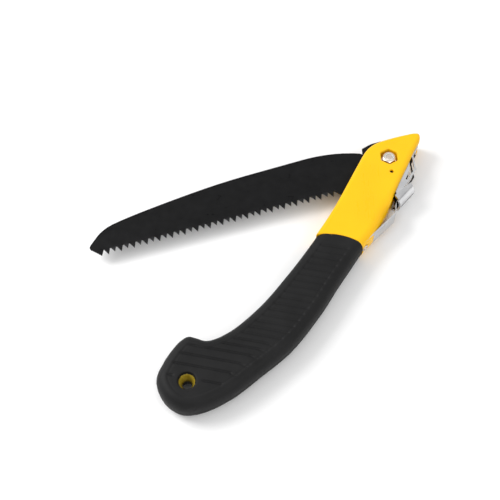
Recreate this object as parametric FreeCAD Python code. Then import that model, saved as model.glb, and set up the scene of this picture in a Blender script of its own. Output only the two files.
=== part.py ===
import FreeCAD, Part
import math
import os

# Folding pruning saw, half unfolded, lying on its side. All lengths are in millimetres.
# The outlines are drawn around the pivot axis. X runs right and Y away from the user.
# Z is up from the table. At the end every solid moves by SHIFT, which centres the saw.

# ---- driving dimensions -------------------------------------------------------------
MID_Z = 10.0              # mid plane of the blade, above the table
GRIP_HALF = 10.0          # half thickness of the rubber grip
HEAD_HALF = 9.3           # half thickness of the bare plastic head
CORE_HALF = 7.6           # half thickness of the plastic core under the rubber
RUBBER_WALL = 2.6         # rubber around the edge of the core
GRIP_ROUND = 3.4          # edge radius of the rubber
HEAD_ROUND = 2.2          # edge radius of the bare plastic
ROUND_STEPS = 3
OUTLINE_STEPS = 84

BLADE_THICK = 1.2
SLOT_HALF = 1.3           # half width of the blade slot
TOOTH_PITCH = 4.55
TOOTH_COUNT = 37
TOOTH_DEPTH = 4.4
TOOTH_SET = 0.35
TOOTH_LINE = -15.6        # tooth tips, measured from the pivot across the blade
FIRST_TOOTH = 213.6       # front end of the first full tooth
BLADE_REST = 196.94       # direction of the blade at rest, degrees
BLADE_FOLDED = 227.44     # direction of the blade when it is folded
TANG_RADIUS = 10.76

BOLT_RADIUS = 2.5
BUSH_RADIUS = 4.0
BLADE_BORE = 4.05
HEX_ACROSS = 9.0
NUT_DOME = 7.2            # radius of the ball that rounds the nut's top
RECESS_ACROSS = 11.9
WASHER_THICK = 0.8
NUT_HEIGHT = 4.0
INSERT_RADIUS = 3.2        # nylon ring in the top of the nut
WASHER_RADIUS = 5.5
RECESS_FLOOR = 3.7        # distance of each recess floor from the mid plane
THRUST_RADIUS = 7.0
THRUST_THICK = 0.6

PIN_X = 1.0               # axis of the lock lever
PIN_Y = -13.0
PIN_RADIUS = 1.4
PIN_HALF = 7.4
LEVER_BORE = 1.46
CHEEK_IN = 4.5            # the two cheeks of the lever, from the mid plane
CHEEK_OUT = 5.9
POCKET_HALF = 6.2
PAD_RADIUS = 11.0
PAD_THICK = 1.6
PAD_SEAM = (0.5, 0.7)     # half width and depth of the seam along the pad's crown
PAD_HALF = 9.9
PAD_LENGTH = 16.8
PAD_REACH = (6.2, 4.4)    # depth of the gutter at its front and back end

SPRING_THICK = 0.8
SPRING_HALF = 6.25
TONGUE_HALF = 4.1

RIB_ANGLE = -11.3
RIB_WIDTH = 1.5
RIB_DEPTH = 0.45

HOLE_X = -140.0           # lanyard hole
HOLE_Y = -175.0
HOLE_RADIUS = 3.2
HOLE_MOUTH = 5.0
HOLE_RUBBER = 5.8
HOLE_LAND = 2.0

SHIFT = FreeCAD.Vector(93.10, 85.22, 0.0)

# ---- outlines around the pivot axis -------------------------------------------------
HANDLE = [
    (-128, -144.6), (-115, -139), (-95, -121), (-75, -95.5), (-55, -66), (-41.5, -43.5),
    (-29.5, -20), (-20, -1.0), (-15.5, 6.5), (-9, 12.2), (0, 16), (10, 19.2),
    (18.6, 21.4), (23.2, 21.1), (24.0, 18.4), (20.1, 8.7), (14.3, -4), (7.5, -18.5),
    (-0.9, -38), (-10.1, -57.5), (-16.0, -66.3), (-22.3, -74), (-32, -89), (-42, -105), (-52, -121.5),
    (-72, -148.5), (-92.4, -166.8), (-112, -182.8), (-130.5, -192), (-143.8, -193),
    (-154.2, -185.9), (-159.9, -173), (-155.9, -160), (-146.0, -145.2), (-140.2, -141.6),
    (-134.8, -142.8),
]
RUBBER_FRONT = [
    (-75, -58), (-55, -65.6), (-40, -66.6), (-30, -69.8), (-22.3, -74.3), (-10, -84),
]
SPINE = [
    (205.5, 6.0), (196, 8.4), (163, 13.6), (120, 18.4), (77.5, 20.2), (46, 20.6),
    (26, 17.2),
]
HEEL = [(12.0, -11.2), (18, -12.9), (28, -14.6), (42.0, -15.6)]
TOE = [(222.6, -7.0), (222.5, -8.4), (221.5, -9.6)]
CHEEK = [
    (-2.7, -14.2), (3.4, -29.6), (2.8, -33.0), (5.2, -35.6), (7.7, -32.9), (6.6, -28.6),
    (15.9, -14.4), (17.6, -11.6), (19.1, -9.0), (18.5, -2.5), (18.0, 3.0), (21.3, 9.6),
    (22.1, 10.9), (20.9, 12.0), (19.2, 11.6), (14.2, 1.0), (9.5, -6.5), (2.3, -9.3),
]
WINDOW = [
    (17.2, 1.4), (17.3, -2.6), (17.8, -8.6), (16.4, -11.4), (11.9, -18.5), (10.8, -17.6),
    (13.5, -11.5), (14.6, -8.0), (14.8, -2.6), (15.4, 1.4),
]
POCKET = [
    (-3.4, -9.5), (-0.5, -8.7), (5.0, -7.2), (8.7, -1.5), (10.8, 3.5), (12.6, 13.4),
    (15.4, 18.4), (30, 18.4), (30, -40), (2, -40), (-0.2, -33), (-3.4, -17),
]
RIB_PANEL = [
    (-49.3, -70.1), (-69.3, -99.6), (-89.3, -125.1), (-110, -144.8), (-126, -151.5),
    (-138, -149), (-149, -161), (-152.5, -172), (-147.5, -182), (-140, -186.5),
    (-131, -185.5), (-112, -175), (-92, -159), (-72, -139.5), (-52, -112.5),
    (-36, -85.5), (-30, -76.5),
]
RIB_ORIGIN = -100.0       # the grooves are placed by where they cross this X
RIB_LINES = [-64.9 - 5.125 * i for i in range(17)]
RIB_LINES += [-152.0, -157.5, -164.4, -172.0, -181.0]
NOSE_TIP = (19.99, 10.54)
NOSE_SIDE = 1.1
PAD_START = (6.3, -38.2)
PAD_ANGLE = 49.8
SPRING_LINE = [
    (-26.3, -75.8), (-16, -65), (1.6, -46.6), (3.0, -36.8), (8.6, -29.8),
]


def vec(point, z=0.0):
    return FreeCAD.Vector(point[0], point[1], z)


def spline(points):
    curve = Part.BSplineCurve()
    curve.interpolate([vec(p) for p in points])
    return curve.toShape()


def lines(points):
    edges = []
    for start, end in zip(points[:-1], points[1:]):
        edges.append(Part.LineSegment(vec(start), vec(end)).toShape())
    return edges


def face_of(edges):
    return Part.Face(Part.Wire(edges))


def polygon(points):
    return face_of(lines(points + [points[0]]))


def plate(face, low, high):
    solid = face.extrude(FreeCAD.Vector(0, 0, high - low))
    solid.translate(FreeCAD.Vector(0, 0, low))
    return solid


def about_mid(face, half):
    return plate(face, MID_Z - half, MID_Z + half)


def rod(x, y, radius, low, high):
    return Part.makeCylinder(radius, high - low, FreeCAD.Vector(x, y, low))


def ring(x, y, inner, outer, low, high):
    return rod(x, y, outer, low, high).cut(rod(x, y, inner, low, high))


def hexagon(across, low, high):
    corner = across / math.sqrt(3.0)
    points = []
    for i in range(6):
        angle = math.radians(90 + 60 * i)
        points.append((corner * math.cos(angle), corner * math.sin(angle)))
    return plate(polygon(points), low, high)


def band(points, half):
    # a strip of even thickness that follows a bent line
    left = []
    right = []
    for i, point in enumerate(points):
        before = points[max(i - 1, 0)]
        after = points[min(i + 1, len(points) - 1)]
        ways = []
        for start, end in ((before, point), (point, after)):
            length = math.hypot(end[0] - start[0], end[1] - start[1])
            if length > 0:
                ways.append(((end[0] - start[0]) / length, (end[1] - start[1]) / length))
        way_x = sum(w[0] for w in ways)
        way_y = sum(w[1] for w in ways)
        size = math.hypot(way_x, way_y)
        normal = (-way_y / size, way_x / size)
        reach = half / (normal[0] * -ways[0][1] + normal[1] * ways[0][0])
        left.append((point[0] + reach * normal[0], point[1] + reach * normal[1]))
        right.append((point[0] - reach * normal[0], point[1] - reach * normal[1]))
    return polygon(left + right[::-1])


def turned(shape, angle):
    shape.rotate(FreeCAD.Vector(0, 0, 0), FreeCAD.Vector(0, 0, 1), angle)
    return shape


# ---- handle: a plastic core with a rubber grip moulded over it -----------------------
def outline(inset, z=0.0):
    # the closed handle outline, moved inwards by inset and placed at height z
    points = [vec(p) for p in HANDLE]
    base = Part.BSplineCurve()
    base.interpolate(Points=points, PeriodicFlag=True)
    length = base.length()
    moved = []
    for i in range(OUTLINE_STEPS):
        place = base.parameterAtDistance(length * i / OUTLINE_STEPS, base.FirstParameter)
        way = base.tangent(place)[0]
        inward = FreeCAD.Vector(way.y, -way.x, 0)
        moved.append(base.value(place) + inward * inset + FreeCAD.Vector(0, 0, z))
    curve = Part.BSplineCurve()
    curve.interpolate(Points=moved, PeriodicFlag=True)
    return Part.Wire([curve.toShape()])


def rounded(half, radius):
    # the handle outline as a plate with rounded rims
    rings = []
    for i in range(ROUND_STEPS + 1):
        angle = 0.5 * math.pi * i / ROUND_STEPS
        drop = radius * (1 - math.sin(angle))
        rings.append((radius * (1 - math.cos(angle)), half - drop))
    rings = rings[::-1]
    lower = [(inset, MID_Z - height) for inset, height in rings]
    upper = [(inset, MID_Z + height) for inset, height in rings[::-1]]
    wires = [outline(inset, z) for inset, z in lower + upper]
    return Part.makeLoft(wires, True, True)


front_edges = [spline(RUBBER_FRONT)]
front_edges += lines([(-10, -84), (60, -84), (60, 60), (-75, 60), (-75, -58)])
head_side = plate(face_of(front_edges), -5, 25)

inner_face = Part.Face(outline(RUBBER_WALL))
inner = about_mid(inner_face, CORE_HALF)
core = rounded(HEAD_HALF, HEAD_ROUND).common(head_side).fuse(inner)
grip = rounded(GRIP_HALF, GRIP_ROUND).cut(head_side).cut(inner)

# blade slot, drawn in the frame of the folded blade: along the blade and towards its spine
slot_face = polygon([(-70, -17.0), (215.9, -17.0), (223.6, -8.3), (223.6, 80), (-70, 80)])
slot_face.rotate(FreeCAD.Vector(0, 0, 0), FreeCAD.Vector(1, 0, 0), 180)
slot = about_mid(slot_face, SLOT_HALF)
slot = turned(slot, BLADE_FOLDED)
slot = slot.fuse(rod(0, 0, 23.8, MID_Z - SLOT_HALF, MID_Z + SLOT_HALF))
pocket = about_mid(polygon(POCKET), POCKET_HALF)

core = core.cut(slot).cut(pocket)
grip = grip.cut(slot)

# pivot: through hole and a hexagonal recess on each side
core = core.cut(rod(0, 0, BOLT_RADIUS + 0.05, 0, 20))
core = core.cut(hexagon(RECESS_ACROSS, MID_Z + RECESS_FLOOR, 25))
core = core.cut(hexagon(RECESS_ACROSS, -5, MID_Z - RECESS_FLOOR))
core = core.cut(rod(PIN_X, PIN_Y, PIN_RADIUS + 0.02, -5, 25))

# lanyard hole: a short land in the core with a countersink from each side
core = core.cut(rod(HOLE_X, HOLE_Y, HOLE_RADIUS, 0, 20))
for way in (1, -1):
    sink = Part.makeCone(
        HOLE_RADIUS, HOLE_MOUTH, CORE_HALF - HOLE_LAND,
        FreeCAD.Vector(HOLE_X, HOLE_Y, MID_Z + way * HOLE_LAND),
        FreeCAD.Vector(0, 0, way),
    )
    core = core.cut(sink)
grip = grip.cut(rod(HOLE_X, HOLE_Y, HOLE_RUBBER, -1, 21))

# grip ribs: slanted grooves, closer together near the head than at the tail
panel = polygon(RIB_PANEL)
cutters = []
for line in RIB_LINES:
    bar = Part.makeBox(160, RIB_WIDTH, 30, FreeCAD.Vector(-80, -RIB_WIDTH / 2, -5))
    bar.rotate(FreeCAD.Vector(0, 0, 0), FreeCAD.Vector(0, 0, 1), RIB_ANGLE)
    bar.translate(vec((RIB_ORIGIN, line)))
    cutters.append(bar)
pattern = cutters[0].multiFuse(cutters[1:])
pattern = pattern.cut(rod(HOLE_X, HOLE_Y, 9.5, -10, 30))
skin_low = plate(panel, -5, MID_Z - GRIP_HALF + RIB_DEPTH)
skin_high = plate(panel, MID_Z + GRIP_HALF - RIB_DEPTH, 25)
grip = grip.cut(pattern.common(skin_high)).cut(pattern.common(skin_low))

# ---- leaf spring and its screw -------------------------------------------------------
spring_face = band(SPRING_LINE, SPRING_THICK / 2)
spring = about_mid(spring_face, SPRING_HALF)
side_cut = polygon([(-4, -40.3), (12, -47), (24, -20), (6, -16)])
for way in (1, -1):
    low = MID_Z + min(way * TONGUE_HALF, way * 12)
    spring = spring.cut(plate(side_cut, low, low + 12 - TONGUE_HALF))
spring_gap = about_mid(band(SPRING_LINE[:3], SPRING_THICK / 2 + 0.05), SPRING_HALF + 0.05)
core = core.cut(spring_gap)
grip = grip.cut(spring_gap)

screw_at = FreeCAD.Vector(-21.6, -70.9, MID_Z)
screw_way = FreeCAD.Vector(-0.724, 0.690, 0)
screw_way.normalize()
screw_head_from = screw_at - screw_way * 0.45
screw = Part.makeCylinder(1.5, 8.0, screw_head_from, screw_way)
screw = screw.fuse(Part.makeCylinder(2.6, 1.4, screw_head_from - screw_way * 1.4, screw_way))
drive = Part.makeCylinder(1.2, 0.8, screw_head_from - screw_way * 1.4, screw_way)
screw = screw.cut(drive)
spring = spring.cut(Part.makeCylinder(1.6, 6, screw_at - screw_way * 3, screw_way))
core = core.cut(Part.makeCylinder(1.52, 9, screw_at, screw_way))
mouth = Part.makeCylinder(2.9, 14, screw_at, screw_way * -1)
core = core.cut(mouth)
grip = grip.cut(mouth)

# ---- blade, drawn along +X with the spine towards +Y, then turned to rest ------------
gullet = TOOTH_LINE + TOOTH_DEPTH
last_tooth = FIRST_TOOTH - TOOTH_PITCH * TOOTH_COUNT
blade_edges = [spline(SPINE)]
blade_edges += lines([(26, 17.2), (14.9, 12.7), (13.5, 17.6), (6, 19.7), (-2, 20.0)])
blade_edges += [spline([(-2, 20.0), (-10.5, 17.2), (-15.9, 9.4)])]
blade_edges += lines([(-15.9, 9.4), (-9.5, 5.05)])
low_tang = (TANG_RADIUS * math.cos(math.radians(249)), TANG_RADIUS * math.sin(math.radians(249)))
blade_edges += [Part.Arc(vec((-9.5, 5.05)), vec(low_tang), vec((9.0, -5.9))).toShape()]
blade_edges += lines([(9.0, -5.9), (10.9, -9.2), (12.0, -11.2)])
blade_edges += [spline(HEEL)]
blade_edges += lines([(42.0, -15.6), (last_tooth, gullet), (FIRST_TOOTH, gullet)])
blade_edges += lines([(FIRST_TOOTH, gullet), (FIRST_TOOTH + 2.1, TOOTH_LINE), TOE[-1]])
blade_edges += [spline(TOE[::-1])]
blade_edges += [spline([TOE[0], (217.8, -1.9), (212.6, 2.6), SPINE[0]])]
blade = about_mid(face_of(blade_edges), BLADE_THICK / 2)

low_z = MID_Z - BLADE_THICK / 2
high_z = MID_Z + BLADE_THICK / 2
teeth = []
for i in range(TOOTH_COUNT):
    back = last_tooth + TOOTH_PITCH * i
    tip = back + 0.42 * TOOTH_PITCH
    lean = TOOTH_SET if i % 2 else -TOOTH_SET
    low = [vec((back, gullet), low_z), vec((back + TOOTH_PITCH, gullet), low_z)]
    low.append(vec((tip, TOOTH_LINE), low_z + lean))
    high = [vec((back, gullet), high_z), vec((back + TOOTH_PITCH, gullet), high_z)]
    high.append(vec((tip, TOOTH_LINE), high_z + lean))
    faces = [Part.Face(Part.makePolygon(low + [low[0]]))]
    faces.append(Part.Face(Part.makePolygon(high + [high[0]])))
    for j in range(3):
        k = (j + 1) % 3
        faces.append(Part.Face(Part.makePolygon([low[j], low[k], high[k], high[j], low[j]])))
    teeth.append(Part.Solid(Part.Shell(faces)))
blade = blade.multiFuse(teeth).removeSplitter()
blade = blade.cut(rod(0, 0, BLADE_BORE, 0, 20))
# the blade's teeth face the user, so the outline is mirrored before it is turned
blade = blade.mirror(FreeCAD.Vector(0, 0, 0), FreeCAD.Vector(0, 1, 0))
blade = turned(blade, BLADE_REST)

# ---- pivot hardware ------------------------------------------------------------------
top_floor = MID_Z + RECESS_FLOOR
low_floor = MID_Z - RECESS_FLOOR
bolt = hexagon(HEX_ACROSS, low_floor - WASHER_THICK - 4.0, low_floor - WASHER_THICK)
bolt = bolt.fuse(rod(0, 0, BOLT_RADIUS, low_floor - WASHER_THICK, 18.2))
nut_low = top_floor + WASHER_THICK
nut = hexagon(HEX_ACROSS, nut_low, nut_low + NUT_HEIGHT)
nut = nut.cut(rod(0, 0, BOLT_RADIUS + 0.03, 0, 30))
nut = nut.cut(rod(0, 0, INSERT_RADIUS + 0.05, nut_low + 2.8, 30))
nut = nut.common(Part.makeSphere(NUT_DOME, FreeCAD.Vector(0, 0, nut_low - 2.0)))
insert_low = nut_low + 2.83
nut_insert = ring(0, 0, BOLT_RADIUS + 0.03, INSERT_RADIUS, insert_low, nut_low + 3.8)
bolt_washer = ring(0, 0, BOLT_RADIUS + 0.1, WASHER_RADIUS, low_floor - WASHER_THICK, low_floor)
nut_washer = ring(0, 0, BOLT_RADIUS + 0.1, WASHER_RADIUS, top_floor, nut_low)
bushing = ring(0, 0, BOLT_RADIUS + 0.03, BUSH_RADIUS, MID_Z - 1.28, MID_Z + 1.28)
thrust_low = MID_Z + BLADE_THICK / 2 + 0.06
thrust_upper = ring(0, 0, 4.05, THRUST_RADIUS, thrust_low, thrust_low + THRUST_THICK)
thrust_low = MID_Z - BLADE_THICK / 2 - 0.06
thrust_lower = ring(0, 0, 4.05, THRUST_RADIUS, thrust_low - THRUST_THICK, thrust_low)

# ---- lock lever: a stamped fork with a gutter-shaped thumb pad -----------------------
nose_in = (0.670, 0.742)
nose_out = (0.848, -0.530)
corners = [NOSE_TIP]
for step_in, step_out in ((1, 0), (1, 1), (0, 1)):
    x = NOSE_TIP[0] + NOSE_SIDE * (step_in * nose_in[0] + step_out * nose_out[0])
    y = NOSE_TIP[1] + NOSE_SIDE * (step_in * nose_in[1] + step_out * nose_out[1])
    corners.append((x, y))
lock_bar = about_mid(polygon(corners), CHEEK_OUT)

cheek_face = polygon(CHEEK).cut(polygon(WINDOW))
lever = None
for way in (1, -1):
    low = MID_Z + min(way * CHEEK_IN, way * CHEEK_OUT)
    high = low + CHEEK_OUT - CHEEK_IN
    cheek = plate(cheek_face, low, high).fuse(rod(PIN_X, PIN_Y, 3.9, low, high))
    lever = cheek if lever is None else lever.fuse(cheek)

pad_way = FreeCAD.Vector(math.cos(math.radians(PAD_ANGLE)), math.sin(math.radians(PAD_ANGLE)), 0)
pad_in = FreeCAD.Vector(-pad_way.y, pad_way.x, 0)
pad_axis = vec(PAD_START, MID_Z) + pad_in * PAD_RADIUS
gutter = Part.makeCylinder(PAD_RADIUS, PAD_LENGTH, pad_axis, pad_way)
gutter = gutter.cut(Part.makeCylinder(PAD_RADIUS - PAD_THICK, PAD_LENGTH, pad_axis, pad_way))
pad_face = polygon([(0, 0), (PAD_LENGTH, 0), (PAD_LENGTH, PAD_REACH[1]), (0, PAD_REACH[0])])
keep = turned(about_mid(pad_face, PAD_HALF), PAD_ANGLE)
keep.translate(vec(PAD_START))
pad = gutter.common(keep)
seam = Part.makeBox(PAD_LENGTH - 2.0, 1.0, 2 * PAD_SEAM[0], FreeCAD.Vector(1.0, -1.0, 0))
seam.translate(FreeCAD.Vector(0, PAD_SEAM[1], -PAD_SEAM[0]))
seam = turned(seam, PAD_ANGLE)
seam.translate(vec(PAD_START, MID_Z))
pad = pad.cut(seam)
lever = lever.fuse(pad).removeSplitter()
lever = lever.cut(rod(PIN_X, PIN_Y, LEVER_BORE, 0, 20)).cut(lock_bar)
lever_pin = rod(PIN_X, PIN_Y, PIN_RADIUS, MID_Z - PIN_HALF, MID_Z + PIN_HALF)

# ---- write every part in the shared frame --------------------------------------------
nodes = {
    "handle_core": core,
    "grip_overmould": grip,
    "saw_blade": blade,
    "pivot_bolt": bolt,
    "pivot_nut": nut,
    "nut_insert": nut_insert,
    "bolt_washer": bolt_washer,
    "nut_washer": nut_washer,
    "thrust_washer_upper": thrust_upper,
    "thrust_washer_lower": thrust_lower,
    "pivot_bushing": bushing,
    "lock_lever": lever,
    "lock_bar": lock_bar,
    "lever_pin": lever_pin,
    "leaf_spring": spring,
    "spring_screw": screw,
}
os.makedirs("parts", exist_ok=True)
for name, shape in nodes.items():
    shape.translate(SHIFT)
    shape.exportStep("parts/" + name + ".step")
    box = shape.BoundBox
    print(name, len(shape.Solids), shape.isValid(), round(shape.Volume, 1),
          [round(v, 2) for v in (box.XMin, box.XMax, box.YMin, box.YMax, box.ZMin, box.ZMax)])
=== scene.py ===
import math

import bmesh
import bpy
import numpy as np
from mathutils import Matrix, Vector
from mathutils.kdtree import KDTree


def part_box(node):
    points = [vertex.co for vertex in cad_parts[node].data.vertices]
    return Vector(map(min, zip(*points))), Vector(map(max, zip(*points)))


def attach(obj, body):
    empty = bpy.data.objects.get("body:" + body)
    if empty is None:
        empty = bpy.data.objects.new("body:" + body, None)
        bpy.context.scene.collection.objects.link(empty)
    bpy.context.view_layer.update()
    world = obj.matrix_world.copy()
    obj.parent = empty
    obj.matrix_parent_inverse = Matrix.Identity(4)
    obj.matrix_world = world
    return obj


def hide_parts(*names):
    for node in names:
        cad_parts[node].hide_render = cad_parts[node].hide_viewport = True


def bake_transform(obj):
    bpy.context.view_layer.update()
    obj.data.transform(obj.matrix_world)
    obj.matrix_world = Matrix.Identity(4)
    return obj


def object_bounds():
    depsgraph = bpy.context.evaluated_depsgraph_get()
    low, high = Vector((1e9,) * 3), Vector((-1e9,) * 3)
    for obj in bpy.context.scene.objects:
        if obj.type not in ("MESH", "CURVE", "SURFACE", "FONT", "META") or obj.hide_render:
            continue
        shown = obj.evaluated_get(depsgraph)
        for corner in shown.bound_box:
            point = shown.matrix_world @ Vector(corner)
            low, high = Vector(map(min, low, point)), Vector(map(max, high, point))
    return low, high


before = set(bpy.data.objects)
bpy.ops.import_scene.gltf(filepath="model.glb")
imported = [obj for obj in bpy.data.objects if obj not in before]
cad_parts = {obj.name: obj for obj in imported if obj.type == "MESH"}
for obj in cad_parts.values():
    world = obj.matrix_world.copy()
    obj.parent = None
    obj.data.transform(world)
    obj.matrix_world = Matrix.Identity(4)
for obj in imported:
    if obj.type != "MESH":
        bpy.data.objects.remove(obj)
cad_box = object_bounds()

MM = 0.001
BLADE_DEGREES = 196.94    # direction of the blade at rest
bolt_low, bolt_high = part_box("pivot_bolt")
blade_low, blade_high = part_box("saw_blade")
PIVOT = Vector(((bolt_low.x + bolt_high.x) / 2, (bolt_low.y + bolt_high.y) / 2,
                (blade_low.z + blade_high.z) / 2))


def place(x, y, z=0.0):
    # millimetres around the pivot axis and from the blade's mid plane, to the row frame
    return PIVOT + Vector((x, y, z)) * MM


# ---- materials ------------------------------------------------------------------------
class Nodes:
    def __init__(self, name):
        self.material = bpy.data.materials.new(name)
        self.material.use_nodes = True
        self.tree = self.material.node_tree
        self.shader = self.tree.nodes["Principled BSDF"]
        self.coords = self.tree.nodes.new("ShaderNodeTexCoord").outputs["Object"]

    def node(self, kind, inputs=None, **settings):
        made = self.tree.nodes.new(kind)
        for key, value in settings.items():
            setattr(made, key, value)
        for key, value in (inputs or {}).items():
            self.link(value, made.inputs[key])
        return made

    def link(self, value, socket):
        if isinstance(value, bpy.types.NodeSocket):
            self.tree.links.new(value, socket)
        else:
            socket.default_value = value

    def scaled(self, factors, turn=0.0):
        mapping = self.node("ShaderNodeMapping", {"Vector": self.coords})
        mapping.inputs["Rotation"].default_value = (0.0, 0.0, turn)
        mapping.inputs["Scale"].default_value = factors
        return mapping.outputs["Vector"]

    def noise(self, scale, detail, rough, vector=None):
        made = self.node("ShaderNodeTexNoise", {"Vector": vector or self.coords})
        made.inputs["Scale"].default_value = scale
        made.inputs["Detail"].default_value = detail
        made.inputs["Roughness"].default_value = rough
        return made.outputs["Fac"]

    def ramp(self, value, stops):
        made = self.node("ShaderNodeValToRGB", {"Fac": value})
        ramp = made.color_ramp
        while len(ramp.elements) < len(stops):
            ramp.elements.new(0.5)
        for element, (position, colour) in zip(ramp.elements, stops):
            element.position = position
            element.color = (*colour, 1.0)
        return made.outputs["Color"]

    def spread(self, value, low_in, high_in, low_out, high_out):
        made = self.node("ShaderNodeMapRange", {"Value": value})
        made.inputs["From Min"].default_value = low_in
        made.inputs["From Max"].default_value = high_in
        made.inputs["To Min"].default_value = low_out
        made.inputs["To Max"].default_value = high_out
        return made.outputs["Result"]

    def mix(self, factor, first, second):
        # in a colour mix, inputs 6 and 7 and output 2 are the colours
        made = self.node("ShaderNodeMix", data_type="RGBA", blend_type="MIX")
        self.link(factor, made.inputs[0])
        for socket, value in ((made.inputs[6], first), (made.inputs[7], second)):
            if isinstance(value, tuple):
                value = (*value, 1.0)
            self.link(value, socket)
        return made.outputs[2]

    def math(self, operation, first, second):
        made = self.node("ShaderNodeMath", operation=operation)
        self.link(first, made.inputs[0])
        self.link(second, made.inputs[1])
        return made.outputs[0]

    def bump(self, height, strength, distance, below=None):
        made = self.node("ShaderNodeBump", {"Height": height})
        made.inputs["Strength"].default_value = strength
        made.inputs["Distance"].default_value = distance
        if below is not None:
            self.link(below, made.inputs["Normal"])
        return made.outputs["Normal"]

    def finish(self, **sockets):
        # a keyword such as base_color names the shader's socket Base Color
        for key, value in sockets.items():
            name = key.replace("_", " ").title().replace("Ior", "IOR")
            self.link(value, self.shader.inputs[name])
        return self.material


def yellow_plastic():
    m = Nodes("yellow_plastic")
    broad = m.noise(38.0, 3.0, 0.5)
    fine = m.noise(900.0, 5.0, 0.6)
    colour = m.ramp(broad, [(0.30, (0.830, 0.450, 0.002)), (0.70, (0.875, 0.490, 0.003))])
    scuff = m.noise(260.0, 8.0, 0.7, m.scaled((1.0, 0.12, 1.0), 0.9))
    scuff_mask = m.spread(scuff, 0.66, 0.74, 0.0, 0.22)
    colour = m.mix(scuff_mask, colour, (0.78, 0.50, 0.10))
    rough = m.spread(m.math("ADD", broad, scuff), 0.7, 1.4, 0.24, 0.42)
    low = m.bump(broad, 0.10, 0.0010)
    normal = m.bump(fine, 0.10, 0.00012, low)
    return m.finish(base_color=colour, roughness=rough, normal=normal,
                    specular_ior_level=0.26)


def shaded_plastic():
    # the core plastic inside the lanyard hole, with painted shade: darker than the yellow
    # plastic, and darker still deep inside
    m = Nodes("shaded_plastic")
    broad = m.noise(300.0, 4.0, 0.6)
    fine = m.noise(1500.0, 5.0, 0.6)
    colour = m.ramp(broad, [(0.30, (0.240, 0.170, 0.012)), (0.70, (0.360, 0.265, 0.030))])
    height = m.node("ShaderNodeSeparateXYZ", {"Vector": m.coords}).outputs["Z"]
    # painted shade: the colour darkens towards the lower inside of the hole
    colour = m.mix(m.spread(height, 0.010, 0.0135, 0.0, 1.0), (0.020, 0.015, 0.003), colour)
    rough = m.spread(m.math("ADD", broad, fine), 0.7, 1.4, 0.16, 0.34)
    normal = m.bump(fine, 0.12, 0.00010)
    return m.finish(base_color=colour, roughness=rough, normal=normal,
                    specular_ior_level=0.45)


def black_rubber():
    m = Nodes("black_rubber")
    broad = m.noise(55.0, 4.0, 0.55)
    grain = m.noise(2600.0, 4.0, 0.65)
    pores = m.node("ShaderNodeTexVoronoi", {"Vector": m.coords})
    pores.inputs["Scale"].default_value = 1500.0
    dust = m.noise(700.0, 9.0, 0.75)
    colour = m.ramp(broad, [(0.30, (0.0066, 0.0066, 0.0068)),
                            (0.72, (0.0118, 0.0118, 0.0121))])
    dust_mask = m.spread(dust, 0.66, 0.80, 0.0, 0.25)
    colour = m.mix(dust_mask, colour, (0.040, 0.039, 0.038))
    rough = m.spread(m.math("ADD", broad, grain), 0.7, 1.3, 0.46, 0.66)
    low = m.bump(broad, 0.12, 0.0010)
    mid = m.bump(pores.outputs["Distance"], 0.18, 0.00018, low)
    normal = m.bump(grain, 0.25, 0.00012, mid)
    return m.finish(base_color=colour, roughness=rough, normal=normal,
                    specular_ior_level=0.16)


def coated_blade():
    m = Nodes("coated_blade")
    along = m.scaled((0.05, 1.0, 1.0), -math.radians(BLADE_DEGREES))
    grind = m.noise(420.0, 6.0, 0.7, along)
    mottle = m.noise(160.0, 5.0, 0.6)
    speck = m.noise(2400.0, 4.0, 0.7)
    colour = m.ramp(mottle, [(0.32, (0.0038, 0.0038, 0.0041)),
                             (0.70, (0.0066, 0.0066, 0.0070))])
    wear = m.node("ShaderNodeAttribute", attribute_name="wear")
    patches = m.spread(mottle, 0.35, 0.65, 0.25, 1.0)
    wear_mask = m.math("MULTIPLY", wear.outputs["Fac"], patches)
    colour = m.mix(wear_mask, colour, (0.16, 0.16, 0.165))
    rough = m.spread(m.math("ADD", grind, mottle), 0.75, 1.3, 0.26, 0.46)
    metal = m.spread(wear_mask, 0.0, 1.0, 0.0, 0.8)
    low = m.bump(grind, 0.12, 0.00010)
    normal = m.bump(speck, 0.22, 0.00006, low)
    return m.finish(base_color=colour, roughness=rough, normal=normal, metallic=metal,
                    specular_ior_level=0.12)


def chrome():
    m = Nodes("bright_steel")
    streak = m.noise(500.0, 6.0, 0.65, m.scaled((0.06, 1.0, 1.0), -0.87))
    cloud = m.noise(90.0, 5.0, 0.6)
    pits = m.noise(1900.0, 6.0, 0.7)
    colour = m.ramp(cloud, [(0.30, (0.56, 0.565, 0.58)), (0.70, (0.70, 0.70, 0.705))])
    pit_mask = m.spread(pits, 0.70, 0.78, 0.0, 0.55)
    colour = m.mix(pit_mask, colour, (0.30, 0.29, 0.28))
    rough = m.spread(m.math("ADD", streak, cloud), 0.75, 1.3, 0.10, 0.24)
    normal = m.bump(streak, 0.08, 0.00010, m.bump(cloud, 0.10, 0.0006))
    return m.finish(base_color=colour, roughness=rough, normal=normal, metallic=1.0)


def zinc():
    m = Nodes("zinc_steel")
    cloud = m.noise(240.0, 6.0, 0.6)
    grain = m.noise(1600.0, 6.0, 0.7)
    # the warm tint is partly the plating's own tone and partly a painted reflection of the
    # yellow handle
    colour = m.ramp(cloud, [(0.30, (0.66, 0.57, 0.50)), (0.72, (0.82, 0.72, 0.63))])
    rough = m.spread(m.math("ADD", cloud, grain), 0.75, 1.3, 0.20, 0.42)
    normal = m.bump(grain, 0.16, 0.00008, m.bump(cloud, 0.12, 0.0003))
    return m.finish(base_color=colour, roughness=rough, normal=normal, metallic=1.0)


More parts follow.
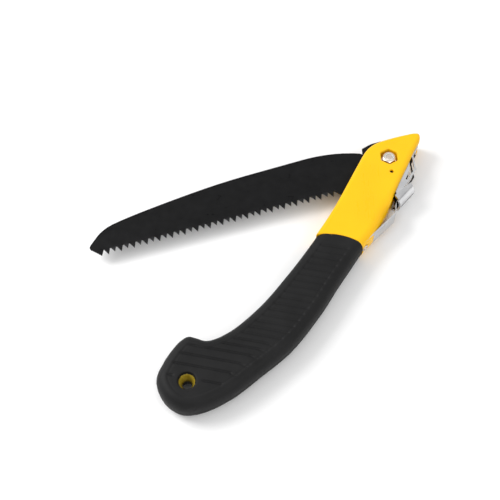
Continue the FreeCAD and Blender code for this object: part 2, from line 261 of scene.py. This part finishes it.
def black_oxide_and_shade():
    # a dark oxide finish for the lever pin, and painted shade on the lock lever's inner faces
    m = Nodes("black_oxide_and_shade")
    cloud = m.noise(400.0, 5.0, 0.6)
    grain = m.noise(2600.0, 5.0, 0.7)
    colour = m.ramp(cloud, [(0.30, (0.012, 0.010, 0.008)), (0.72, (0.045, 0.036, 0.028))])
    rough = m.spread(grain, 0.3, 0.7, 0.42, 0.62)
    normal = m.bump(grain, 0.2, 0.00006)
    return m.finish(base_color=colour, roughness=rough, normal=normal, metallic=0.6)


def nylon():
    m = Nodes("nylon")
    cloud = m.noise(300.0, 4.0, 0.5)
    grain = m.noise(2200.0, 4.0, 0.6)
    colour = m.ramp(cloud, [(0.30, (0.62, 0.60, 0.52)), (0.70, (0.74, 0.72, 0.65))])
    rough = m.spread(grain, 0.3, 0.7, 0.40, 0.58)
    normal = m.bump(grain, 0.15, 0.00008)
    return m.finish(base_color=colour, roughness=rough, normal=normal,
                    subsurface_weight=0.15)


YELLOW = yellow_plastic()
RUBBER = black_rubber()
SHADED = shaded_plastic()
BLADE = coated_blade()
CHROME = chrome()
ZINC = zinc()
NYLON = nylon()
OXIDE_AND_SHADE = black_oxide_and_shade()


# ---- mesh helpers ---------------------------------------------------------------------
def new_object(name, bm, *materials):
    mesh = bpy.data.meshes.new(name)
    bm.to_mesh(mesh)
    bm.free()
    for material in materials:
        mesh.materials.append(material)
    made = bpy.data.objects.new(name, mesh)
    bpy.context.collection.objects.link(made)
    return made


def cad_copy(node):
    # the CAD node's surface as a welded bmesh, ready to be worked on
    bm = bmesh.new()
    bm.from_mesh(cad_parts[node].data)
    bmesh.ops.remove_doubles(bm, verts=bm.verts, dist=0.000004)
    return bm


def applied(obj):
    # the object with its modifiers applied
    graph = bpy.context.evaluated_depsgraph_get()
    mesh = bpy.data.meshes.new_from_object(obj.evaluated_get(graph))
    obj.modifiers.clear()
    obj.data = mesh
    return obj


def remeshed(obj, voxel, smooth):
    remesh = obj.modifiers.new("remesh", "REMESH")
    remesh.mode = "VOXEL"
    remesh.voxel_size = voxel * MM
    soften = obj.modifiers.new("soften", "SMOOTH")
    soften.factor = 0.5
    soften.iterations = smooth
    return applied(obj)


def smooth_faces(obj):
    obj.data.polygons.foreach_set("use_smooth", [True] * len(obj.data.polygons))
    obj.data.update()


def softened(node, width, material, segments=2):
    # the CAD node with its corners broken, as a stamped or machined part has them
    bm = cad_copy(node)
    flat = math.radians(1.0)
    bmesh.ops.dissolve_limit(bm, angle_limit=flat, verts=bm.verts, edges=bm.edges)
    made = new_object(node + "_visual", bm, material)
    bevel = made.modifiers.new("bevel", "BEVEL")
    bevel.width = width * MM
    bevel.segments = segments
    bevel.limit_method = "ANGLE"
    bevel.angle_limit = math.radians(35)
    bevel.harden_normals = True
    made = applied(made)
    smooth_faces(made)
    weighted = made.modifiers.new("normals", "WEIGHTED_NORMAL")
    weighted.keep_sharp = True
    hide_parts(node)
    return made


def closed_curve(points, step):
    # a smooth closed line through the points, in pieces of about the given step
    out = []
    count = len(points)
    for i in range(count):
        p0, p1, p2, p3 = (Vector(points[(i + k - 1) % count]) for k in range(4))
        pieces = max(2, int((p2 - p1).length / step))
        t01 = math.sqrt((p1 - p0).length)
        t12 = math.sqrt((p2 - p1).length)
        t23 = math.sqrt((p3 - p2).length)
        m1 = (p2 - p1) + t12 * ((p1 - p0) / t01 - (p2 - p0) / (t01 + t12))
        m2 = (p2 - p1) + t12 * ((p3 - p2) / t23 - (p3 - p1) / (t12 + t23))
        for j in range(pieces):
            t = j / pieces
            a = 2 * t ** 3 - 3 * t ** 2 + 1
            b = t ** 3 - 2 * t ** 2 + t
            c = -2 * t ** 3 + 3 * t ** 2
            d = t ** 3 - t ** 2
            out.append(p1 * a + m1 * b + p2 * c + m2 * d)
    return out


# ---- the handle's outline, for rounding and ribs ----------------------------------------
HANDLE = [
    (-128, -144.6), (-115, -139), (-95, -121), (-75, -95.5), (-55, -66), (-41.5, -43.5),
    (-29.5, -20), (-20, -1.0), (-15.5, 6.5), (-9, 12.2), (0, 16), (10, 19.2),
    (18.6, 21.4), (23.2, 21.1), (24.0, 18.4), (20.1, 8.7), (14.3, -4), (7.5, -18.5),
    (-0.9, -38), (-10.1, -57.5), (-16.0, -66.3), (-22.3, -74), (-32, -89), (-42, -105),
    (-52, -121.5), (-72, -148.5), (-92.4, -166.8), (-112, -182.8), (-130.5, -192),
    (-143.8, -193), (-154.2, -185.9), (-159.9, -173), (-155.9, -160), (-146.0, -145.2),
    (-140.2, -141.6), (-134.8, -142.8),
]
RIM = closed_curve(HANDLE, 0.25)
INWARD = []
rim_tree = KDTree(len(RIM))
for i, point in enumerate(RIM):
    ahead = RIM[(i + 1) % len(RIM)] - RIM[i - 1]
    INWARD.append(Vector((ahead.y, -ahead.x)).normalized())
    rim_tree.insert((point.x, point.y, 0.0), i)
rim_tree.balance()
HOLE = Vector((-140.0, -175.0))


def from_rim(x, y):
    # distance inside the outline, and the inward direction at the nearest rim point
    _, index, distance = rim_tree.find((x, y, 0.0))
    inward = INWARD[index]
    side = (x - RIM[index].x) * inward.x + (y - RIM[index].y) * inward.y
    return (distance if side > 0 else -distance), inward


def smoothstep(low, high, value):
    # works for low > high too, as a falling step
    t = min(max((value - low) / (high - low), 0.0), 1.0)
    return t * t * (3 - 2 * t)


def rounded_rim(x, y, z, half, radius, power):
    # moves a point beyond the rounded section on to it
    depth, inward = from_rim(x, y)
    if depth >= radius:
        return x, y, z
    across = (radius - depth) / radius
    size = (abs(z) / half) ** power + max(across, 0.0) ** power
    if size <= 1.0:
        return x, y, z
    shrink = size ** (-1.0 / power)
    shift = (1 - shrink) * (radius - depth)
    return x + inward.x * shift, y + inward.y * shift, z * shrink


def rounded_corner(x, y, z, half, deep, high, power):
    # rounds only the upper and lower corner of the rim, deep by high in section
    depth, inward = from_rim(x, y)
    base = half - high
    if depth >= deep or abs(z) <= base:
        return x, y, z
    across = (deep - depth) / deep
    rise = (abs(z) - base) / high
    size = rise ** power + across ** power
    if size <= 1.0:
        return x, y, z
    shrink = size ** (-1.0 / power)
    shift = (1 - shrink) * across * deep
    lifted = math.copysign(base + rise * shrink * high, z)
    return x + inward.x * shift, y + inward.y * shift, lifted


GRIP_HALF = 10.0
HEAD_HALF = 9.3
RIB_SLOPE = 0.2
RIB_CROSS = -100          # the grooves are placed by where they cross this x
RIB_LINES = [-64.9 - 5.125 * i for i in range(17)] + [-152.0, -157.5, -164.4, -172.0, -181.0]
PANEL_DEPTH = 7.6         # depth of the ribbed panel's border
RIM_CLEAR = 4.0           # no relief nearer to the rim than this
BELLY_SIDE = 12           # how far towards the belly the grooves start to hook
HOLE_CLEAR = (8.0, 11.0)  # the grooves fade out around the lanyard hole


def rib_height(x, y):
    # relief of the moulded ribs, in millimetres below the crown
    depth, _ = from_rim(x, y)
    if depth < RIM_CLEAR:
        return 0.0
    lean = y + RIB_SLOPE * (x - RIB_CROSS)
    tail = 1.0 - smoothstep(-158, -132, lean)
    # the grooves hook downwards where they meet the belly side of the panel
    belly = x * 0.8 - y * 0.6 > BELLY_SIDE
    hook = smoothstep(13.0, 7.5, depth) if belly else 0.0
    lean += 1.6 * hook * tail
    gap = min(abs(lean - line) for line in RIB_LINES)
    wide = 1.75 - 0.65 * tail
    cut = 1.0 - smoothstep(0.0, wide, gap)
    edge = smoothstep(PANEL_DEPTH - 1.6, PANEL_DEPTH + 0.6, depth)
    away = smoothstep(*HOLE_CLEAR, math.hypot(x - HOLE.x, y - HOLE.y))
    border = 1.0 - smoothstep(0.0, 0.9, abs(depth - PANEL_DEPTH))
    front = smoothstep(-62.5, -64.5, lean)
    grooves = (0.34 + 0.22 * tail) * cut * edge * away
    return (grooves + 0.16 * border + 0.10 * edge) * front


def reshape(obj, move):
    # passes every vertex through move, in millimetres around the pivot
    count = len(obj.data.vertices)
    coords = np.empty(count * 3)
    obj.data.vertices.foreach_get("co", coords)
    coords = (coords.reshape(-1, 3) - np.array(PIVOT)) / MM
    for row in coords:
        row[0], row[1], row[2] = move(row[0], row[1], row[2])
    obj.data.vertices.foreach_set("co", (coords * MM + np.array(PIVOT)).ravel())
    obj.data.update()


def keep_side(bm, point, normal):
    # cuts the welded surface with an upright plane and keeps the side the normal points to
    parts = bm.verts[:] + bm.edges[:] + bm.faces[:]
    cut = bmesh.ops.bisect_plane(bm, geom=parts, plane_co=point, plane_no=normal,
                                 clear_inner=True, dist=0.000001)
    edges = [e for e in cut["geom_cut"] if isinstance(e, bmesh.types.BMEdge)]
    bmesh.ops.edgeloop_fill(bm, edges=edges)
    return bm


SEAM_WAY = Vector((0.239, 0.971, 0.0))    # square to the joint of rubber and bare head
SLOT_HALF = 1.55          # the yellow core shows this far to each side of the mid plane
RUBBER_WALL = 2.6
HOLE_EDGE = 5.25

# ---- rubber grip ------------------------------------------------------------------------
grip_bm = cad_copy("grip_overmould")
under = cad_copy("handle_core")
keep_side(under, place(-39, -72.3), -SEAM_WAY)
under_mesh = bpy.data.meshes.new("under")
under.to_mesh(under_mesh)
under.free()
grip_bm.from_mesh(under_mesh)
grip = new_object("rubber_grip", grip_bm, RUBBER, YELLOW, SHADED)
grip = remeshed(grip, 0.55, 6)


def shape_grip(x, y, z):
    x, y, z = rounded_rim(x, y, z, GRIP_HALF, 8.0, 2.5)
    if abs(z) > GRIP_HALF / 2:
        z -= math.copysign(rib_height(x, y), z)
        crown = 0.105 * smoothstep(0.0, 16.0, 16.0 - from_rim(x, y)[0])
        z -= math.copysign(crown, z)
    return x, y, z


reshape(grip, shape_grip)
for polygon in grip.data.polygons:
    centre = (polygon.center - PIVOT) / MM
    depth = from_rim(centre.x, centre.y)[0]
    in_slot = abs(centre.z) < SLOT_HALF and depth > RUBBER_WALL
    in_hole = (centre.xy - HOLE).length < HOLE_EDGE and depth > RIM_CLEAR
    # the lanyard hole's faces take the plastic with painted shade
    polygon.material_index = 2 if in_hole else int(in_slot)
smooth_faces(grip)
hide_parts("grip_overmould")
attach(grip, "handle")

# ---- plastic head -----------------------------------------------------------------------
head_bm = keep_side(cad_copy("handle_core"), place(-39, -79), SEAM_WAY)
head = new_object("plastic_head", head_bm, YELLOW)
head = remeshed(head, 0.42, 5)
POCKET_REACH = 6.8        # from the mid plane, a little more than the lever's pocket
POCKET_CORNER = (5.0, -7.3)


def shape_head(x, y, z):
    # crisp on the blade's side, broad and soft on the back, and high where the pocket ends
    _, inward = from_rim(x, y)
    deep = 2.8
    high = 2.3
    if inward.x < 0:
        deep += 1.4 * smoothstep(16, 4, y) + 4.0 * smoothstep(-26, -40, y)
        deep -= 1.6 * smoothstep(-50, -62, y)
        high += 0.6 * smoothstep(16, 4, y) + 3.6 * smoothstep(-38, -50, y)
    if abs(z) < POCKET_REACH:
        # keeps the corner of the pocket clear of the lever at its upper limit
        near = smoothstep(2.4, 0.9, math.hypot(x - POCKET_CORNER[0], y - POCKET_CORNER[1]))
        x -= 0.17 * near
        y += 0.32 * near
    return rounded_corner(x, y, z, HEAD_HALF, deep, high, 2.1)


reshape(head, shape_head)
smooth_faces(head)
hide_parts("handle_core")
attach(head, "handle")

# ---- saw blade --------------------------------------------------------------------------
BLADE_TURN = math.radians(BLADE_DEGREES)
ALONG = Vector((math.cos(BLADE_TURN), math.sin(BLADE_TURN), 0))
TO_SPINE = Vector((math.sin(BLADE_TURN), -math.cos(BLADE_TURN), 0))
HALF_BLADE = 0.6
PITCH = 4.55
TEETH = 37
FIRST = 213.6
TIP_LINE = -15.6
GULLET = -11.2
TANG_RADIUS = 10.76
TANG_ARC = (152, 326.8)   # where the round part of the tang starts and ends, in degrees
BORE_RADIUS = 4.05
BORE_SIDES = 48


def on_blade(along, up, z):
    # millimetres along the blade, towards its spine and from its mid plane, to the row frame
    return PIVOT + (ALONG * along + TO_SPINE * up + Vector((0, 0, z))) * MM


def open_curve(points, step):
    # a smooth open line through the points
    whole = closed_curve(points, step)
    far = min(range(len(whole)), key=lambda k: (whole[k] - Vector(points[-1])).length)
    return whole[:far + 1]


spine = open_curve([(205.5, 6.0), (196, 8.4), (163, 13.6), (120, 18.4), (77.5, 20.2),
                    (46, 20.6), (26, 17.2), (14.9, 12.7)], 3.0)
tang = [(13.5, 17.6), (6, 19.7), (-2, 20.0), (-10.5, 17.2), (-15.3, 12.4), (-15.9, 9.4),
        (-9.5, 5.05)]
for i in range(1, 25):
    angle = math.radians(TANG_ARC[0] + (TANG_ARC[1] - TANG_ARC[0]) * i / 25)
    tang.append((TANG_RADIUS * math.cos(angle), TANG_RADIUS * math.sin(angle)))
tang += [(9.0, -5.9), (10.9, -9.2), (12.0, GULLET), (18, -12.9), (28, -14.6), (42.0, TIP_LINE)]
edge = [tuple(p) for p in spine] + tang
edge += [(FIRST - PITCH * TEETH, GULLET), (FIRST, GULLET), (FIRST + 2.1, TIP_LINE)]
toe = open_curve([(221.5, -9.6), (222.4, -8.6), (222.6, -7.2), (217.8, -1.9), (212.6, 2.6),
                  (205.5, 6.0)], 1.0)
edge += [tuple(p) for p in toe[:-1]]

blade_bm = bmesh.new()
bore = []
for i in range(BORE_SIDES):
    angle = 2 * math.pi * i / BORE_SIDES
    bore.append((BORE_RADIUS * math.cos(angle), BORE_RADIUS * math.sin(angle)))
outlines = []
for points in (edge, bore):
    loop = [blade_bm.verts.new(on_blade(a, s, -HALF_BLADE)) for a, s in points]
    for i in range(len(loop)):
        outlines.append(blade_bm.edges.new((loop[i], loop[(i + 1) % len(loop)])))
bmesh.ops.triangle_fill(blade_bm, use_beauty=True, use_dissolve=False, edges=outlines)
bmesh.ops.dissolve_limit(blade_bm, angle_limit=0.01, verts=blade_bm.verts,
                         edges=blade_bm.edges)
lifted = bmesh.ops.extrude_face_region(blade_bm, geom=blade_bm.faces[:])
top_verts = [v for v in lifted["geom"] if isinstance(v, bmesh.types.BMVert)]
bmesh.ops.translate(blade_bm, verts=top_verts, vec=Vector((0, 0, 2 * HALF_BLADE * MM)))
bmesh.ops.recalc_face_normals(blade_bm, faces=blade_bm.faces)
SHARP = 1.2               # radians between two faces that meet in a sharp edge
LEVEL = 1e-7
corner = []
for e in blade_bm.edges:
    if len(e.link_faces) == 2 and e.calc_face_angle() > SHARP:
        if abs(e.verts[0].co.z - e.verts[1].co.z) < LEVEL:
            corner.append(e)
bmesh.ops.bevel(blade_bm, geom=corner, offset=0.16 * MM, segments=2, affect="EDGES",
                profile=0.5, clamp_overlap=True)
wear = blade_bm.verts.layers.float.new("wear")
for v in blade_bm.verts:
    v[wear] = 0.0

ROOT_SINK = 0.35          # each tooth starts this far inside the blade
TOOTH_SET = 0.33
TIP_PLACE = 0.42          # place of the tip along the pitch
for i in range(TEETH):
    # each tooth leans to the other side than the one before it
    back = FIRST - PITCH * (i + 1)
    side = 1 if i % 2 else -1
    tip = back + TIP_PLACE * PITCH
    root = GULLET + ROOT_SINK
    near = side * HALF_BLADE * 0.985
    lean = side * (HALF_BLADE + TOOTH_SET)
    inner = -side * HALF_BLADE * 0.985
    r0 = blade_bm.verts.new(on_blade(back + 0.06, root, near))
    r1 = blade_bm.verts.new(on_blade(back + PITCH - 0.06, root, near))
    q0 = blade_bm.verts.new(on_blade(back + 0.45, root, inner))
    q1 = blade_bm.verts.new(on_blade(back + PITCH - 0.45, root, inner))
    t = blade_bm.verts.new(on_blade(tip, TIP_LINE, lean))
    u = blade_bm.verts.new(on_blade(tip, TIP_LINE + 1.5, inner + side * 0.30))
    t[wear] = 0.30
    u[wear] = 0.05
    for corners in ((r0, r1, t), (q1, q0, u), (r0, t, u), (r0, u, q0), (r1, u, t), (r1, q1, u),
                    (r0, q0, q1), (r0, q1, r1)):
        blade_bm.faces.new(corners)
bmesh.ops.recalc_face_normals(blade_bm, faces=blade_bm.faces)
blade = new_object("blade_body", blade_bm, BLADE)
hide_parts("saw_blade")
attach(blade, "blade")

# ---- metal parts ------------------------------------------------------------------------
lever = softened("lock_lever", 0.28, CHROME, segments=3)
# the second material paints shade on the lever's inner faces
lever.data.materials.append(OXIDE_AND_SHADE)
PAD_START = Vector((6.3, -38.2))
PAD_WAY = Vector((0.645, 0.764))
PAD_IN = Vector((-0.764, 0.645))
PAD_RADIUS = 11.0
PAD_INSIDE = 9.6          # a little more than the radius of the gutter's inner side
PAD_REACH = 7
FORK_INSIDE = 4.6         # a little more than half the gap between the cheeks
SEAM_HALF = 0.56
for polygon in lever.data.polygons:
    # painted shade: the faces inside the fork and the gutter get the dark material where shade
    # falls; the dark seam along the pad's crown is partly a real seam and partly painted shade
    centre = (polygon.center - PIVOT) / MM
    from_pad = centre.xy - PAD_START
    along = from_pad.dot(PAD_WAY)
    depth = from_pad.dot(PAD_IN)
    across = Vector((depth - PAD_RADIUS, centre.z))
    facing = Vector((polygon.normal.xy.dot(PAD_IN), polygon.normal.z))
    towards_mid = polygon.normal.z * centre.z < -0.8 * abs(centre.z)
    towards_axis = facing.dot(across) < -0.5 * across.length
    in_fork = abs(centre.z) < FORK_INSIDE and towards_mid
    in_gutter = depth < PAD_REACH and across.length < PAD_INSIDE and towards_axis
    in_seam = 0.05 < depth < 0.9 and abs(centre.z) < SEAM_HALF and 0.5 < along < 16.3
    polygon.material_index = int(in_fork or in_gutter or in_seam)
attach(lever, "lever")
nose = softened("lock_bar", 0.2, CHROME)
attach(nose, "lever")
spring = softened("leaf_spring", 0.16, CHROME)
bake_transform(spring)

for node, width, metal in (("pivot_bolt", 0.3, ZINC), ("pivot_nut", 0.3, ZINC),
                           ("lever_pin", 0.25, OXIDE_AND_SHADE), ("spring_screw", 0.25, ZINC),
                           ("bolt_washer", 0.12, ZINC), ("nut_washer", 0.12, ZINC)):
    made = softened(node, width, metal)
    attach(made, "handle")
for node, material in (("nut_insert", NYLON), ("thrust_washer_upper", NYLON),
                       ("thrust_washer_lower", NYLON), ("pivot_bushing", ZINC)):
    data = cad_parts[node].data
    data.materials.clear()
    data.materials.append(material)

# ---- floor, light and camera ------------------------------------------------------------
FLOOR_GAP = 0.0001
floor_bm = bmesh.new()
bmesh.ops.create_grid(floor_bm, x_segments=2, y_segments=2, size=3.0)
paper = Nodes("studio_floor")
shade = paper.ramp(paper.noise(30.0, 3.0, 0.5),
                   [(0.3, (0.86, 0.86, 0.86)), (0.7, (0.88, 0.88, 0.88))])
floor = new_object("studio_floor", floor_bm, paper.finish(base_color=shade, roughness=0.75))
floor.location = (0, 0, cad_box[0].z - FLOOR_GAP)

# the sky is white overhead and greyer towards the horizon: (height, grey)
SKY = ((0.0, 0.52), (0.20, 0.88), (0.80, 1.0))
SKY_STRENGTH = 0.88
world = bpy.data.worlds.new("studio")
bpy.context.scene.world = world
world.use_nodes = True
sky_tree = world.node_tree
background = sky_tree.nodes["Background"]
background.inputs["Strength"].default_value = SKY_STRENGTH
sky_place = sky_tree.nodes.new("ShaderNodeTexCoord")
sky_split = sky_tree.nodes.new("ShaderNodeSeparateXYZ")
sky_ramp = sky_tree.nodes.new("ShaderNodeValToRGB")
sky_tree.links.new(sky_place.outputs["Generated"], sky_split.inputs["Vector"])
sky_tree.links.new(sky_split.outputs["Z"], sky_ramp.inputs["Fac"])
sky_tree.links.new(sky_ramp.outputs["Color"], background.inputs["Color"])
sky_ramp.color_ramp.elements.new(0.5)
for element, (height, grey) in zip(sky_ramp.color_ramp.elements, SKY):
    element.position = height
    element.color = (grey, grey, grey, 1.0)


def area_light(name, where, aim, size, power):
    data = bpy.data.lights.new(name, "AREA")
    data.shape = "RECTANGLE"
    data.size = size[0]
    data.size_y = size[1]
    data.energy = power
    made = bpy.data.objects.new(name, data)
    made.location = where
    made.rotation_mode = "QUATERNION"
    made.rotation_quaternion = (Vector(aim) - Vector(where)).to_track_quat("-Z", "Y")
    bpy.context.collection.objects.link(made)


area_light("key", (-0.80, 0.30, 0.75), (0, 0, 0), (0.6, 0.6), 10.0)
area_light("fill", (0.55, -0.65, 0.70), (0, 0, 0), (0.9, 0.6), 3.0)

CAMERA_SHIFT = (-0.1001, -0.4381)    # metres from the pivot axis
CAMERA_HEIGHT = 0.6172    # above the table
CAMERA_TILT = math.radians(31.0)
camera_data = bpy.data.cameras.new("camera")
camera_data.sensor_width = 36.0
camera_data.lens = 73.93
camera_data.clip_start = 0.01
camera_data.clip_end = 20.0
camera = bpy.data.objects.new("camera", camera_data)
camera.location = (PIVOT.x + CAMERA_SHIFT[0], PIVOT.y + CAMERA_SHIFT[1],
                   cad_box[0].z + CAMERA_HEIGHT)
camera.rotation_euler = (CAMERA_TILT, 0, 0)
bpy.context.collection.objects.link(camera)
bpy.context.scene.camera = camera
bpy.context.scene.view_settings.view_transform = "Standard"
